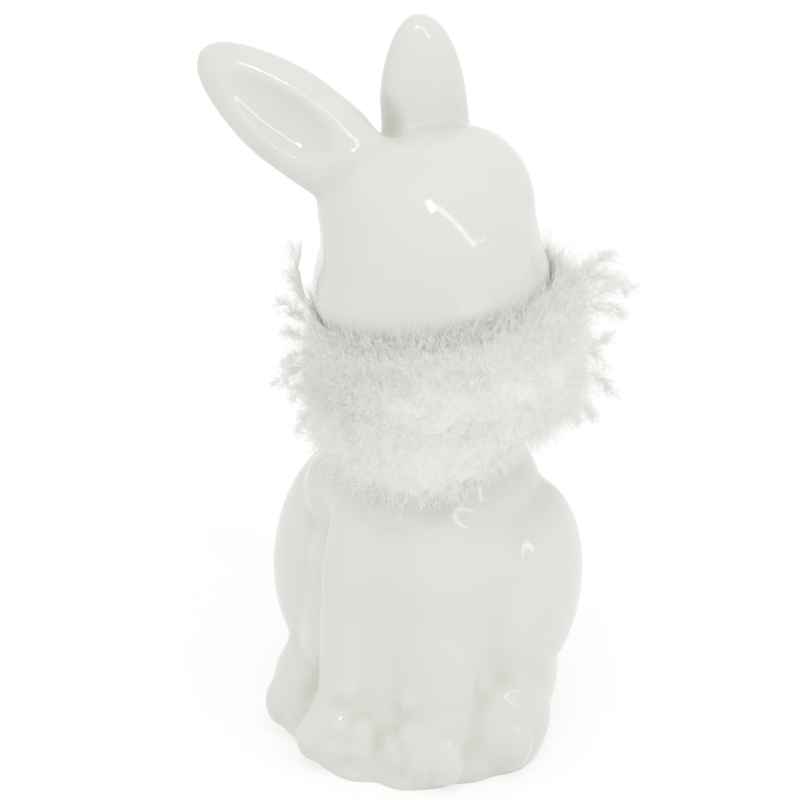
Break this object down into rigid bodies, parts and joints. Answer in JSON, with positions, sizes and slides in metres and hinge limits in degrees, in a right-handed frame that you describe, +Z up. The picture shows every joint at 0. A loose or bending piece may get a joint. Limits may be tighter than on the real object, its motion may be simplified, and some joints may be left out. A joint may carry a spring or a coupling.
{
  "type": "rabbit figurine with feather collar",
  "caption": "Sitting white glazed ceramic rabbit, one ear up and one out to the side, with a fluffy down feather collar that turns round its neck.",
  "frame": {"origin": "on the flat base, under the middle of the neck", "axes": "+Z up, -Y the way the body faces, +X towards the rabbit's left"},
  "size_m": [0.0809, 0.0775, 0.152],
  "materials": {
    "glazed_ceramic": "clear gloss glaze over white slip-cast body, bare clay on the underside",
    "down": "loose white down feathers",
    "cord": "twisted white cotton cord"
  },
  "bodies": {
    "figurine": {"body": "glazed_ceramic", "head": "glazed_ceramic", "right_ear": "glazed_ceramic", "left_ear": "glazed_ceramic", "tail": "glazed_ceramic"},
    "collar": {"collar_cord": "cord", "collar_knot": "cord", "plume_01": "down", "plume_02": "down", "plume_03": "down", "plume_04": "down", "plume_05": "down", "plume_06": "down", "plume_07": "down", "plume_08": "down", "plume_09": "down", "plume_10": "down", "plume_11": "down", "plume_12": "down"}
  },
  "joints": [
    {"name": "collar_turn", "type": "hinge", "parent": "figurine", "child": "collar", "pos_m": [0, 0, 0.08], "axis": [0, 0, 1], "continuous": true}
  ]
}
